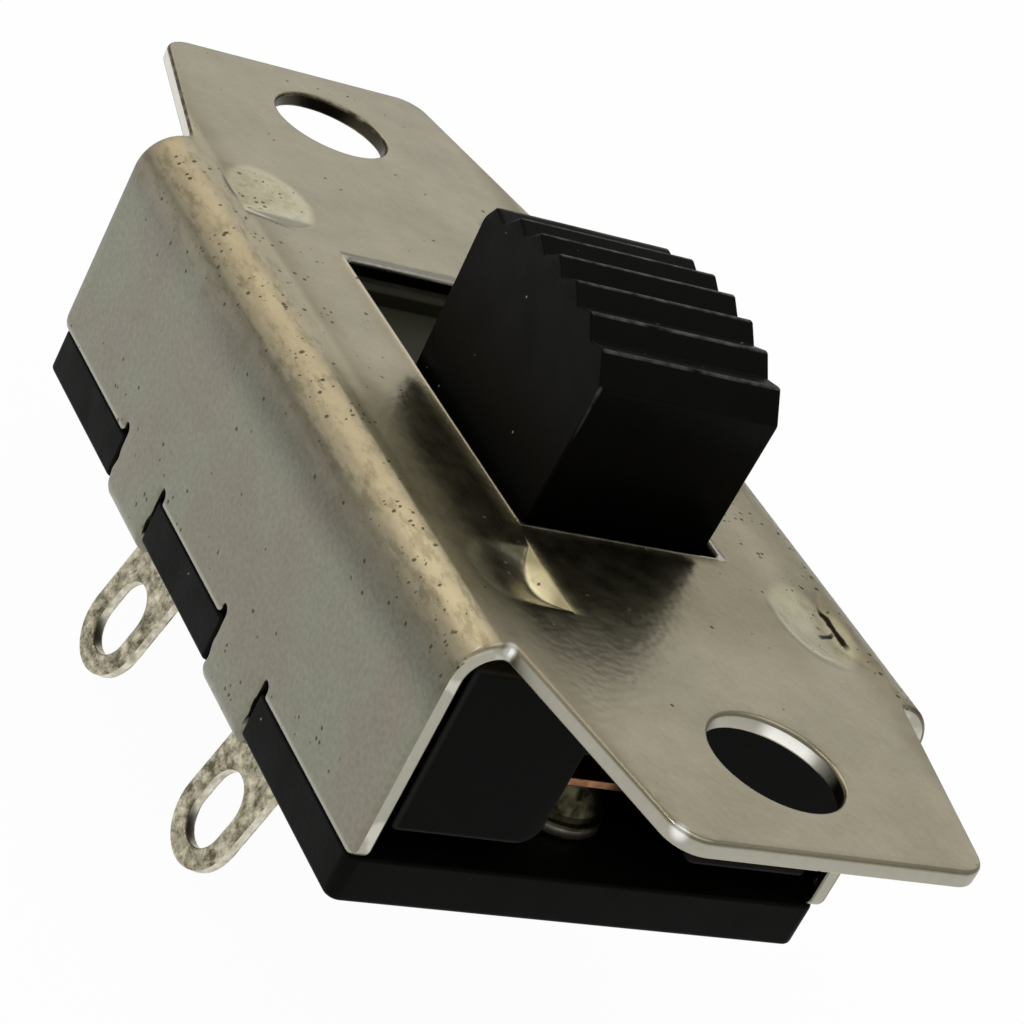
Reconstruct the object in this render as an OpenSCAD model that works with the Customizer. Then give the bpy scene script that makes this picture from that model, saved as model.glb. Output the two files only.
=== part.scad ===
// Panel-mount on/off slide switch of a vacuum cleaner.
// X runs along the switch, the slide's way is X, and Z points out through the panel.
// The origin is the middle of the slot, on the outer face of the plate.

/* [Mounting plate] */
// Distance between the two screw holes
hole_pitch = 28.5; // [27:0.1:30]
// Diameter of each screw hole
hole_d = 3.4; // [2.6:0.1:3.8]
// Distance from a screw hole's middle to the end of its ear
ear_end = 3.25; // [2.6:0.05:4]
// Narrowing of an ear on each side, from its root to its tip
ear_taper = 1.4; // [0.8:0.1:2]
// Radius of an ear's corners
ear_corner_r = 0.9; // [0.4:0.1:1.4]
// Thickness of the sheet steel
sheet = 0.45; // [0.4:0.05:0.6]

/* [Channel] */
// Length of the folded side walls
channel_len = 22.4; // [21.8:0.1:23]
// Width over the side walls
channel_w = 13.7; // [13.2:0.1:14.5]
// Height from the plate's face to the lower edge of a wall
channel_h = 6.3; // [6:0.1:7]
// Outer radius of the fold between plate and wall
fold_r = 1.2; // [0.9:0.1:1.5]

/* [Slot] */
// Length of the slot that the knob moves in
slot_len = 11.8; // [11.4:0.1:12.2]
// Width of the slot
slot_w = 5.8; // [5:0.1:6]

/* [Dimples] */
// Distance from an end of the channel to the middle of a dimple
dimple_inset = 2.8; // [2.4:0.1:3.2]
// Length of a pressed dimple along the switch
dimple_len = 3.1; // [2.6:0.1:3.4]
// Flat left beside a dimple, towards the slot and towards the fold
dimple_margin = 0.27; // [0.2:0.01:0.5]
// Depth to which a dimple is pressed down
dimple_depth = 0.45; // [0.3:0.05:0.5]

/* [Crimp tabs] */
// Distance between the two tabs of a wall, and between the two lugs
tab_pitch = 7.9; // [7.4:0.1:8.2]
// How far the tabs and lugs sit from the middle, towards the off end
tab_shift = 0.45; // [0:0.05:0.8]
// Width of a tab at its root
tab_w = 2.7; // [2.4:0.1:3.2]
// Width of a tab at its foot
tab_foot_w = 2.3; // [1.8:0.1:2.4]
// Inner radius of the curl that grips the base
curl_r = 0.2; // [0.1:0.05:0.5]
// Length of the tab's flat foot under the base
foot_len = 0.5; // [0.3:0.1:0.8]
// Radius of the relief notch beside each tab
relief_r = 0.17; // [0.12:0.01:0.25]
// Depth of the relief notch in the wall
relief_depth = 0.35; // [0.3:0.05:0.6]

/* [Base] */
// How far the base stands back from the ends of the walls
base_end_inset = 0.1; // [0:0.05:0.4]
// How far the base stands back from the outer faces of the walls
base_side_inset = 0.05; // [0:0.05:0.2]
// Thickness of the moulded base
base_t = 1.3; // [1.1:0.1:2]
// Radius of the base's upright corners
base_corner_r = 0.35; // [0.2:0.05:1]

/* [Terminals] */
// Thickness of the terminal strip
strip_t = 0.4; // [0.3:0.05:0.5]
// Width of a solder lug and of its strap
lug_w = 2.75; // [2.4:0.05:3.2]
// Length of a lug below the base
lug_len = 5.3; // [4.5:0.1:6]
// Distance of the lug row from the wall's outer face
lug_inset = 2.55; // [2.3:0.05:3]
// Angle by which a lug is splayed outwards
lug_splay = 15; // [0:1:25]
// Width of the wire hole in a lug
wire_hole_w = 1.6; // [1:0.1:1.8]
// Length of the wire hole in a lug
wire_hole_len = 2.2; // [1.9:0.1:2.6]
// Gap between the contact pad of one terminal and the strap of the other
strap_gap = 0.45; // [0.3:0.05:0.6]

/* [Contacts] */
// Diameter of a contact rivet at the foot of its head
rivet_d = 2.4; // [2:0.1:2.6]
// Diameter of the flat on top of a contact rivet
rivet_flat_d = 1.5; // [1:0.1:1.9]
// Height of a contact rivet's head
rivet_h = 1.15; // [1:0.05:1.4]
// Diameter of a contact rivet's shank
rivet_shank_d = 1.2; // [0.8:0.1:1.6]
// How far the sliding contact bridge reaches past the rivets' middles
bridge_overhang = 1.35; // [1.1:0.05:1.5]
// Width of the contact bridge
bridge_w = 3.4; // [3:0.1:3.6]
// Thickness of the contact bridge
bridge_t = 0.25; // [0.2:0.05:0.3]
// Diameter of the spring's wire
wire_d = 0.3; // [0.25:0.05:0.35]
// Outer diameter of the contact spring
spring_d = 2.4; // [2.2:0.1:2.6]
// Number of turns of the contact spring
spring_turns = 4; // [3:0.5:4.5]

/* [Slider] */
// Length of the knob
knob_len = 7.1; // [6.8:0.1:7.2]
// Height of the knob's domed top above the plate
knob_h = 5.1; // [4.5:0.05:6]
// Drop of the domed top from its middle to its ends
dome_drop = 0.8; // [0.4:0.05:1]
// Number of grip ridges on the knob
ridges = 7; // [5:1:8]
// Distance from the knob's off end to the middle of its first ridge
ridge_inset = 0.135; // [0.1:0.005:0.3]
// Distance from the middle of its last ridge to the knob's on end
ridge_run_out = 0.635; // [0.3:0.005:0.8]
// Depth of the grooves between the ridges
groove_depth = 0.38; // [0.2:0.02:0.45]
// Width of the flat along the top of a ridge
ridge_flat = 0.16; // [0.1:0.02:0.3]
// Clearance between the contact bridge and the carriage's legs
leg_gap = 0.35; // [0.25:0.05:0.5]
// Radius of the lower inner edge of each leg
leg_edge_r = 0.6; // [0.3:0.1:1]
// Height of the carriage's legs over the terminal straps
leg_clear = 0.35; // [0.25:0.05:0.5]
// Thickness of the carriage over the contact bridge
roof_t = 1.9; // [1.7:0.1:2.1]
// Length of the rib on the carriage that closes the slot's far end
rib_len = 0.95; // [0.6:0.05:1.2]
// Depth of the spring's pocket in the carriage
pocket_depth = 1.3; // [1:0.1:1.4]

/* [Clearances] */
// Clearance on each side of the knob in the slot
knob_gap = 0.25; // [0.15:0.01:0.3]
// Clearance left between knob and slot at each end of its way
end_gap = 0.125; // [0.1:0.005:0.2]
// Clearance between the carriage and the channel's ends
carriage_gap = 0.25; // [0.15:0.01:0.35]
// Clearance between the carriage and the side walls
side_gap = 0.4; // [0.2:0.05:0.5]
// Clearance of the contact spring in its pocket
spring_gap = 0.15; // [0.1:0.01:0.2]
// Clearance between pieces that are fitted together
fit_gap = 0.05; // [0.03:0.01:0.1]

/* [Hidden] */

$fn = 64;
eps = 0.01;
steel = "#9b9482";
black = "#1c1c1b";
tinned_brass = "#a09a7c";
silver = "#c4c2b4";
copper = "#b0764f";

// Levels, from the plate's face downwards
plate_under = -sheet;
base_top = -channel_h;
base_under = base_top - base_t;
strap_top = base_top + strip_t;
rivet_top = strap_top + rivet_h;
bridge_under = rivet_top + fit_gap;
bridge_top = bridge_under + bridge_t;
carriage_top = plate_under - dimple_depth - fit_gap;
roof_under = carriage_top - roof_t;
leg_under = strap_top + leg_clear;

// Places along the switch, with the slider at its on end
travel = slot_len - knob_len - 2 * end_gap;
knob_x = travel / 2;
carriage_len = channel_len - travel - 2 * carriage_gap;
plate_len = hole_pitch + 2 * ear_end;
base_len = channel_len - 2 * base_end_inset;
dimple_x = channel_len / 2 - dimple_inset;
lug_xs = [for (side = [1, -1]) side * tab_pitch / 2 - tab_shift];
contact_reach = tab_pitch - lug_w - strap_gap;
contact_xs = [for (x = lug_xs) x + contact_reach];
bridge_x = (contact_xs[0] + contact_xs[1]) / 2;
bridge_len = tab_pitch + 2 * bridge_overhang;

// Widths across the switch
wall_in = channel_w / 2 - sheet;
leg_out = wall_in - side_gap;
leg_in = bridge_w / 2 + leg_gap;
leg_w = leg_out - leg_in;
knob_w = slot_w - 2 * knob_gap;
base_w = channel_w - 2 * base_side_inset;
lug_row_y = channel_w / 2 - lug_inset;
ear_root_w = channel_w - 2 * fold_r - 2 * fit_gap;
ear_tip_w = ear_root_w - 2 * ear_taper;

// The flat strip of plate between the slot and a fold, in which the dimples are pressed
strip_in = slot_w / 2;
strip_out = channel_w / 2 - fold_r;
dimple_y = (strip_in + strip_out) / 2;
dimple_w = strip_out - strip_in - 2 * dimple_margin;
rib_side = dimple_y - dimple_w / 2 - knob_gap;

// The bridge's driving ears, which sit in a slot of each leg
bridge_ear_grip = 0.6;
bridge_ear_reach = leg_in + bridge_ear_grip;
bridge_ear_len = 2;

// A box from its lowest to its highest corner
module span(low, high) {
  translate(low)
    cube(high - low);
}

// Extrudes an outline drawn across the switch (y, z) along X, about the place x
module along(x, length) {
  translate([x - length / 2, 0, 0])
    rotate([90, 0, 90])
      linear_extrude(length)
        children();
}

// Outline of a folded cover: a rectangle under z = top with its two upper corners rounded
module rounded_top(half_w, top, bottom, r) {
  translate([-half_w, bottom])
    square([2 * half_w, top - r - bottom]);
  translate([r - half_w, bottom])
    square([2 * (half_w - r), top - bottom]);
  for (side = [-1, 1])
    translate([side * (half_w - r), top - r])
      circle(r);
}

module channel_section() {
  difference() {
    rounded_top(channel_w / 2, 0, -channel_h, fold_r);
    rounded_top(wall_in, plate_under, -channel_h - eps, max(fold_r - sheet, eps));
  }
}

// Plan of one ear: a trapezoid whose tip corners are arcs, tangent to side and end
module ear_plan() {
  root_x = channel_len / 2 - eps;
  tip_x = plate_len / 2;
  run = tip_x - root_x;
  fall = (ear_root_w - ear_tip_w) / 2;
  slant = norm([run, fall]);
  out = [fall, run] / slant;
  corner_x = tip_x - ear_corner_r;
  corner_y = (out * [root_x, ear_root_w / 2] - ear_corner_r - out.x * corner_x) / out.y;
  corner = [corner_x, corner_y];
  tangent = corner + ear_corner_r * out;
  end = [tip_x, corner_y];
  polygon([
    [root_x - fold_r, ear_root_w / 2], [root_x, ear_root_w / 2], tangent, corner, end,
    [end.x, -end.y], [corner.x, -corner.y], [tangent.x, -tangent.y],
    [root_x, -ear_root_w / 2], [root_x - fold_r, -ear_root_w / 2]
  ]);
  for (side = [1, -1])
    translate([corner.x, side * corner.y])
      circle(ear_corner_r);
}

// A boat-shaped dimple: two spheres meet in a crease that runs along the switch
module dimple(grow) {
  half_len = dimple_len / 2;
  half_w = dimple_w / 2;
  crease_r = (half_len ^ 2 + dimple_depth ^ 2) / (2 * dimple_depth);
  offset_y = (half_len ^ 2 - half_w ^ 2) / dimple_w;
  ball_r = norm([crease_r, offset_y]) + grow;
  translate([0, 0, crease_r - dimple_depth])
    intersection() {
      translate([0, offset_y, 0])
        sphere(ball_r);
      translate([0, -offset_y, 0])
        sphere(ball_r);
    }
}

module at_dimples() {
  for (along_side = [-1, 1], across_side = [-1, 1])
    translate([along_side * dimple_x, across_side * dimple_y, 0])
      children();
}

// The sheet that stands out under the plate where a dimple is pressed
module dimple_bulge() {
  intersection() {
    dimple(sheet);
    span([-dimple_len, -dimple_len, -2 * sheet - dimple_depth], [dimple_len, dimple_len, -sheet / 2]);
  }
}

// Section of a crimp tab on the +Y wall: down beside the base, round its edge and in under it
module tab_section() {
  turn = [wall_in - curl_r, base_under - fit_gap + curl_r];
  translate([wall_in, turn.y])
    square([sheet, base_top + eps - turn.y]);
  intersection() {
    translate(turn)
      difference() {
        circle(curl_r + sheet);
        circle(curl_r);
      }
    translate([turn.x, turn.y - curl_r - sheet])
      square(curl_r + sheet);
  }
  translate([turn.x - foot_len, turn.y - curl_r - sheet])
    square([foot_len + eps, sheet]);
}

// Outline of a tab seen from the side: it narrows from its root to its foot
module tab_taper() {
  foot_z = base_under - fit_gap - sheet;
  polygon([
    [-tab_w / 2, base_top + eps], [tab_w / 2, base_top + eps],
    [tab_foot_w / 2, foot_z - eps], [-tab_foot_w / 2, foot_z - eps]
  ]);
}

// Extrudes an outline drawn from the side (x, z) right across the switch
module across(x) {
  translate([x, channel_w, 0])
    rotate([90, 0, 0])
      linear_extrude(2 * channel_w)
        children();
}

module crimp_tabs() {
  for (side = [0, 1])
    mirror([0, side, 0])
      for (x = lug_xs)
        intersection() {
          along(x, tab_w)
            tab_section();
          across(x)
            tab_taper();
        }
}

// Round-ended notches in the wall's lower edge, which let the tabs bend cleanly
module tab_reliefs() {
  for (x = lug_xs, side = [-1, 1])
    across(x + side * (tab_w / 2 + relief_r))
      translate([0, relief_depth - relief_r - channel_h]) {
        circle(relief_r);
        translate([-relief_r, -relief_depth])
          square([2 * relief_r, relief_depth]);
      }
}

module frame() {
  color(steel) {
    difference() {
      union() {
        along(0, channel_len)
          channel_section();
        for (side = [0, 1])
          mirror([side, 0, 0])
            translate([0, 0, plate_under])
              linear_extrude(sheet)
                ear_plan();
        at_dimples()
          dimple_bulge();
      }
      span([-slot_len / 2, -slot_w / 2, -channel_h / 2], [slot_len / 2, slot_w / 2, eps]);
      for (side = [-1, 1])
        translate([side * hole_pitch / 2, 0, -2 * sheet])
          cylinder(d = hole_d, h = 3 * sheet);
      at_dimples()
        dimple(0);
      tab_reliefs();
    }
    crimp_tabs();
  }
}

// Plan of the base, a rectangle with rounded corners
module base_plan() {
  x = base_len / 2 - base_corner_r;
  y = base_w / 2 - base_corner_r;
  square([2 * x, base_w], center = true);
  square([base_len, 2 * y], center = true);
  for (sx = [-1, 1], sy = [-1, 1])
    translate([sx * x, sy * y])
      circle(base_corner_r);
}

// Section of the notch that a tab lies in: the base's edge, cut back and rounded
module tab_notch_section() {
  edge_y = wall_in - fit_gap;
  r = curl_r - fit_gap;
  translate([edge_y, base_under - eps])
    square([channel_w, base_t + 2 * eps]);
  difference() {
    translate([edge_y - r, base_under - eps])
      square([r + eps, r + eps]);
    translate([edge_y - r, base_under + r])
      circle(r);
  }
}

module base() {
  color(black)
    difference() {
      translate([0, 0, base_under])
        linear_extrude(base_t)
          base_plan();
      for (side = [0, 1])
        mirror([0, side, 0])
          for (x = lug_xs)
            along(x, tab_w + 2 * fit_gap)
              tab_notch_section();
      for (x = lug_xs)
        translate([x, -lug_row_y, base_under + base_t / 2])
          cube([lug_w + 2 * fit_gap, strip_t + 2 * fit_gap, 2 * base_t], center = true);
      for (x = contact_xs)
        translate([x, 0, base_top - base_t / 2])
          cylinder(d = rivet_shank_d + 2 * fit_gap, h = base_t);
    }
}

// Outline of a solder lug in its own plane, from the bend downwards
module lug_outline() {
  round_r = lug_w / 2;
  hole_r = wire_hole_w / 2;
  hole_run = wire_hole_len - wire_hole_w;
  hole_z = round_r - lug_len;
  difference() {
    union() {
      translate([-round_r, hole_z])
        square([lug_w, -hole_z]);
      translate([0, hole_z])
        circle(round_r);
    }
    translate([-hole_r, hole_z])
      square([wire_hole_w, hole_run]);
    for (z = [hole_z, hole_z + hole_run])
      translate([0, z])
        circle(hole_r);
  }
}

// One stamped terminal: contact pad, strap over the base, leg through it and splayed lug
module terminal(x, contact_x) {
  half = strip_t / 2;
  color(tinned_brass) {
    difference() {
      union() {
        span([x - lug_w / 2, -lug_row_y - half, base_top], [x + lug_w / 2, lug_w / 2, strap_top]);
        span([x, -lug_w / 2, base_top], [contact_x, lug_w / 2, strap_top]);
        translate([contact_x, 0, base_top])
          cylinder(d = lug_w, h = strip_t);
      }
      translate([contact_x, 0, base_top - eps])
        cylinder(d = rivet_shank_d + 2 * fit_gap, h = strip_t + 2 * eps);
    }
    span([x - lug_w / 2, -lug_row_y - half, base_under], [x + lug_w / 2, half - lug_row_y, base_top + eps]);
    translate([x, -lug_row_y, base_under]) {
      rotate([0, 90, 0])
        cylinder(d = strip_t, h = lug_w, center = true);
      rotate([90 - lug_splay, 0, 0])
        translate([0, 0, -half])
          linear_extrude(strip_t)
            lug_outline();
    }
  }
}

module near_terminal() {
  terminal(lug_xs[0], contact_xs[0]);
}

module far_terminal() {
  terminal(lug_xs[1], contact_xs[1]);
}

// A contact rivet: flat-topped cone for a head, and a shank set in strap and base
module contact_rivet(x) {
  shank_len = strip_t + base_t / 2 - fit_gap;
  color(silver)
    translate([x, 0, strap_top]) {
      cylinder(d1 = rivet_d, d2 = rivet_flat_d, h = rivet_h);
      translate([0, 0, -shank_len])
        cylinder(d = rivet_shank_d, h = shank_len + eps);
    }
}

module near_contact_rivet() {
  contact_rivet(contact_xs[0]);
}

module far_contact_rivet() {
  contact_rivet(contact_xs[1]);
}

// The sliding bridge: a copper strip with two ears by which the slider drives it
module contact_bridge() {
  color(copper) {
    span(
      [bridge_x - bridge_len / 2, -bridge_w / 2, bridge_under],
      [bridge_x + bridge_len / 2, bridge_w / 2, bridge_top]
    );
    span(
      [bridge_x - bridge_ear_len / 2, fit_gap - bridge_ear_reach, bridge_under],
      [bridge_x + bridge_ear_len / 2, bridge_ear_reach - fit_gap, bridge_top]
    );
  }
}

// Ring of points round the spring's wire at a turn angle
function wire_ring(angle, r, rise, sides) = [
  for (i = [0:sides - 1])
    let (a = 360 * i / sides, reach = r + wire_d / 2 * cos(a))
      [reach * cos(angle), reach * sin(angle), rise * angle / 360 + wire_d / 2 * sin(a)]
];

module contact_spring() {
  sides = 8;
  steps = 18;
  spring_under = bridge_top + fit_gap;
  spring_top = roof_under + pocket_depth - fit_gap;
  rise = (spring_top - spring_under - wire_d) / spring_turns;
  last = floor(steps * spring_turns);
  coil_r = (spring_d - wire_d) / 2;
  rings = [for (s = [0:last]) each wire_ring(360 * s / steps, coil_r, rise, sides)];
  start_cap = [[for (i = [0:sides - 1]) i]];
  end_cap = [[for (i = [sides - 1:-1:0]) last * sides + i]];
  walls = [
    for (s = [0:last - 1], i = [0:sides - 1])
      let (a = s * sides + i, b = s * sides + (i + 1) % sides)
        each [[a, a + sides, b + sides], [a, b + sides, b]]
  ];
  color(silver)
    translate([bridge_x, 0, spring_under + wire_d / 2])
      polyhedron(points = rings, faces = concat(start_cap, walls, end_cap), convexity = 8);
}

// Outline of the knob from the side (x, z): a dome cut by V grooves between the ridges
function dome_z(x) =
  let (half = knob_len / 2, r = (half ^ 2 + dome_drop ^ 2) / (2 * dome_drop))
    knob_h - r + sqrt(r ^ 2 - x ^ 2);

module knob_side() {
  half = knob_len / 2;
  flat = ridge_flat / 2;
  pitch = (knob_len - ridge_inset - ridge_run_out) / (ridges - 1);
  slope = groove_depth / (pitch / 2 - flat);
  ridge_xs = [for (i = [0:ridges - 1]) ridge_inset - half + pitch * i];
  mid_x = (ridge_xs[0] + ridge_xs[ridges - 1]) / 2;
  ridge_zs = [for (x = ridge_xs) dome_z(x - mid_x)];
  groove_xs = [for (i = [0:ridges - 2]) ridge_xs[i] + pitch / 2];
  groove_zs = [for (x = groove_xs) dome_z(x - mid_x) - groove_depth];
  top = [
    for (i = [0:ridges - 1]) each concat(
      [[ridge_xs[i] - flat, ridge_zs[i]], [ridge_xs[i] + flat, ridge_zs[i]]],
      i < ridges - 1 ? [[groove_xs[i], groove_zs[i]]] : []
    )
  ];
  foot_z = carriage_top - eps;
  far_z = ridge_zs[0] - slope * (ridge_inset - flat);
  near_z = ridge_zs[ridges - 1] - slope * (ridge_run_out - flat);
  polygon(concat([[-half, foot_z], [-half, far_z]], top, [[half, near_z], [half, foot_z]]));
}

// Section of the carriage: a roof over two legs whose lower inner edges are rounded
module carriage_section() {
  translate([-leg_out, roof_under])
    square([2 * leg_out, roof_t]);
  for (side = [0, 1])
    mirror([side, 0]) {
      translate([leg_in, leg_under + leg_edge_r])
        square([leg_w, roof_under + eps - leg_under - leg_edge_r]);
      translate([leg_in + leg_edge_r, leg_under])
        square([leg_w - leg_edge_r, leg_edge_r + eps]);
      translate([leg_in + leg_edge_r, leg_under + leg_edge_r])
        circle(leg_edge_r);
    }
}

module slider() {
  ear_slot = [bridge_ear_len / 2 + fit_gap, bridge_ear_reach, 0];
  color(black)
    difference() {
      union() {
        translate([knob_x, knob_w / 2, 0])
          rotate([90, 0, 0])
            linear_extrude(knob_w)
              knob_side();
        along(knob_x, carriage_len)
          carriage_section();
        translate([knob_x - carriage_len / 2, 0, 0])
          span([0, -rib_side, carriage_top - eps], [rib_len, rib_side, plate_under - 2 * fit_gap]);
      }
      translate([bridge_x, 0, roof_under - eps])
        cylinder(d = spring_d + 2 * spring_gap, h = pocket_depth + eps);
      translate([bridge_x, 0, 0])
        span([0, 0, leg_under - eps] - ear_slot, [0, 0, roof_under + eps] + ear_slot);
    }
}

frame();
base();
slider();
contact_bridge();
contact_spring();
near_terminal();
far_terminal();
near_contact_rivet();
far_contact_rivet();
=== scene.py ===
import math

import bpy
import numpy as np
from mathutils import Matrix, Vector
from mathutils.geometry import delaunay_2d_cdt


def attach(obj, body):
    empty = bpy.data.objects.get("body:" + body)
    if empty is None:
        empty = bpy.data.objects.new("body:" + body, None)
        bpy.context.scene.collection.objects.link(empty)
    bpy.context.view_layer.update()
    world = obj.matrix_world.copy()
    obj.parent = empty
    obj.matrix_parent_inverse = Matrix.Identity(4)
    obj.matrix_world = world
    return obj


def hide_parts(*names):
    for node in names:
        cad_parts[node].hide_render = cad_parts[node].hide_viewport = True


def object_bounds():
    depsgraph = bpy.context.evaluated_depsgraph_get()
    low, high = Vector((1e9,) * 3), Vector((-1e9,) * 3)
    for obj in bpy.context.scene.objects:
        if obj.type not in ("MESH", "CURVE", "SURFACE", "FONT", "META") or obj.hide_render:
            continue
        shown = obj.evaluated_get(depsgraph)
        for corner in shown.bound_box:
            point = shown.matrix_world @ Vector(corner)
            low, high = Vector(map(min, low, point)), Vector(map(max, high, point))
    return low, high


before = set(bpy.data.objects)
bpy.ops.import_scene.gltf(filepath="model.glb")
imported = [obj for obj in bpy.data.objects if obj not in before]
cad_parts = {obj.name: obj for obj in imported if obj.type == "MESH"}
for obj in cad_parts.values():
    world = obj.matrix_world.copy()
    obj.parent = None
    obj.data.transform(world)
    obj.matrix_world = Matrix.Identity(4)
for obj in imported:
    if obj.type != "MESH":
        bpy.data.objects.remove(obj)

cad_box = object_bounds()

# Camera. It looks down on the on end of the switch from close by,
# turned on its side so that the switch lies from corner to corner.
MM = 0.001
camera_place = Vector((61.138, -45.73, 32.002)) * MM
camera_right = Vector((0.38304, 0.81909, 0.42705))
camera_down = Vector((0.57664, 0.14915, -0.80327))
camera_ahead = Vector((-0.72164, 0.55394, -0.41519))
camera_lens = 115.82
camera_sensor = 36
camera_clip = (0.002, 20)

camera_data = bpy.data.cameras.new("camera")
camera_data.lens = camera_lens
camera_data.sensor_width = camera_sensor
camera_data.clip_start = camera_clip[0]
camera_data.clip_end = camera_clip[1]
camera = bpy.data.objects.new("camera", camera_data)
bpy.context.collection.objects.link(camera)
camera_turn = Matrix((camera_right, -camera_down, -camera_ahead)).transposed()
camera.matrix_world = Matrix.Translation(camera_place) @ camera_turn.to_4x4()
bpy.context.scene.camera = camera
bpy.context.scene.view_settings.view_transform = "Standard"

# Floor. A plain white sheet under the solder lugs, wide enough to fill the view.
# It is shown near white, and takes the switch's soft shadow.
floor_half = 3.0
floor_z = cad_box[0].z
floor_colour = (0.92, 0.92, 0.91, 1)
floor_white = (1, 1, 1, 1)
floor_glow = 0.97


def feed(tree, socket, value):
    """Links a socket to another one, or sets it to a plain value."""
    if isinstance(value, bpy.types.NodeSocket):
        tree.links.new(value, socket)
    else:
        socket.default_value = value


def node(tree, kind, values=None, **settings):
    made = tree.nodes.new(kind)
    for key, value in settings.items():
        setattr(made, key, value)
    for key, value in (values or {}).items():
        feed(tree, made.inputs[key], value)
    return made


def reckon(tree, operation, first, *others):
    """One operation over all its terms, from left to right."""
    if not others:
        return node(tree, "ShaderNodeMath", {0: first}, operation=operation).outputs[0]
    for other in others:
        first = node(tree, "ShaderNodeMath", {0: first, 1: other}, operation=operation).outputs[0]
    return first


def mesh_piece(name, points, faces):
    mesh = bpy.data.meshes.new(name)
    mesh.from_pydata([tuple(p) for p in points], [], faces)
    mesh.validate()
    piece = bpy.data.objects.new(name, mesh)
    bpy.context.collection.objects.link(piece)
    return piece


floor_signs = ((-1, -1), (1, -1), (1, 1), (-1, 1))
floor_corners = [(sx * floor_half, sy * floor_half, floor_z) for sx, sy in floor_signs]
floor = mesh_piece("floor", floor_corners, [(0, 1, 2, 3)])
floor_paint = bpy.data.materials.new("white_floor")
floor_paint.use_nodes = True
tree = floor_paint.node_tree
tree.nodes.clear()
rays = node(tree, "ShaderNodeLightPath").outputs
seen = reckon(tree, "MAXIMUM", rays["Is Camera Ray"], rays["Is Glossy Ray"], rays["Is Transmission Ray"])
share = reckon(tree, "MULTIPLY", seen, floor_glow)
matt = node(tree, "ShaderNodeBsdfDiffuse", {"Color": floor_colour})
glow = node(tree, "ShaderNodeEmission", {"Color": floor_white, "Strength": 1.0})
blend = node(tree, "ShaderNodeMixShader", {0: share, 1: matt.outputs[0], 2: glow.outputs[0]})
node(tree, "ShaderNodeOutputMaterial", {"Surface": blend.outputs[0]})
floor.data.materials.append(floor_paint)

# Light. Soft boxes behind the far end give the sheet metal its even sheen, a warm one
# on the left brightens the folds, and the room fills in the rest.
room_low = 0.32
room_high = 0.42
room_rise = 0.4
room_colour = (1, 1, 0.98, 1)
soft_boxes = [
    # Name, direction, distance, width and height in metres, radiance and colour.
    ("far_box", (-0.72, 0.55, 0.42), 0.4, (0.4, 0.25), 0.55, (1, 0.98, 0.94)),
    ("left_box", (-0.72, -0.2, 0.66), 0.35, (0.26, 0.2), 1.25, (1, 0.92, 0.76)),
    ("glint", (-0.2, -0.55, 0.81), 0.5, (0.05, 0.05), 25.0, (1, 0.98, 0.94)),
    ("top_box", (0.2, 0.1, 1), 0.5, (0.4, 0.4), 0.9, (1, 1, 1)),
]

world = bpy.data.worlds.new("room")
world.use_nodes = True
tree = world.node_tree
sky = node(tree, "ShaderNodeTexCoord").outputs["Generated"]
sky_z = node(tree, "ShaderNodeSeparateXYZ", {"Vector": sky}).outputs["Z"]
level = node(tree, "ShaderNodeMapRange", {
    "Value": sky_z, "From Max": room_rise, "To Min": room_low, "To Max": room_high})
feed(tree, tree.nodes["Background"].inputs["Color"], room_colour)
feed(tree, tree.nodes["Background"].inputs["Strength"], level.outputs[0])
bpy.context.scene.world = world
for name, direction, distance, (width, height), radiance, colour in soft_boxes:
    lamp_data = bpy.data.lights.new(name, "AREA")
    lamp_data.shape = "RECTANGLE"
    lamp_data.size = width
    lamp_data.size_y = height
    lamp_data.energy = radiance * math.pi * width * height
    lamp_data.color = colour
    lamp = bpy.data.objects.new(name, lamp_data)
    bpy.context.collection.objects.link(lamp)
    aim = Vector(direction).normalized()
    facing = aim.to_track_quat("Z", "Y").to_matrix().to_4x4()
    lamp.matrix_world = Matrix.Translation(aim * distance) @ facing

# Base. A black plate of moulded plastic that closes the channel from below; its long edges
# are notched for the crimp tabs, and two slots let the terminals through.
base_half_x = 11.1
base_half_y = 6.8
base_corner_r = 0.35
base_top = -6.3
base_t = 1.3
base_top_roll = 0.1
base_under_roll = 0.14
base_spacing = 1.0
notch_half = 1.4
notch_y = 6.35
notch_r = 0.16
tab_xs = (3.65, -4.25)
lug_xs = (3.5, -4.4)
lug_row_y = 4.3
slot_half = (1.425, 0.25)
clockwise = ((1, 1), (1, -1), (-1, -1), (-1, 1))
base_black = (0.003, 0.003, 0.0026)
base_roughness = 0.45
base_gloss = 0.04
dust_grey = (0.3, 0.3, 0.28)


def rounded(corners, steps=8):
    """Runs through corners (x, y, r) and turns each that has a radius into an arc."""
    out = []
    for i, (x, y, r) in enumerate(corners):
        here = np.array((x, y), float)
        if r == 0:
            out.append((x, y))
            continue
        back = np.array(corners[i - 1][:2]) - here
        ahead = np.array(corners[(i + 1) % len(corners)][:2]) - here
        back /= np.linalg.norm(back)
        ahead /= np.linalg.norm(ahead)
        half = math.acos(max(-1.0, min(1.0, back @ ahead))) / 2
        middle = (back + ahead) / np.linalg.norm(back + ahead)
        centre = here + middle * r / math.sin(half)
        first = here + back * r / math.tan(half) - centre
        last = here + ahead * r / math.tan(half) - centre
        angle = math.atan2(first[1], first[0])
        sweep = (math.atan2(last[1], last[0]) - angle + math.pi) % (2 * math.pi) - math.pi
        for k in range(steps + 1):
            turn = angle + sweep * k / steps
            out.append((centre[0] + r * math.cos(turn), centre[1] + r * math.sin(turn)))
    return out


def arc(centre, r, start, end, steps):
    angles = np.radians(np.linspace(start, end, steps + 1))
    return [(centre[0] + r * math.cos(a), centre[1] + r * math.sin(a)) for a in angles]


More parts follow.
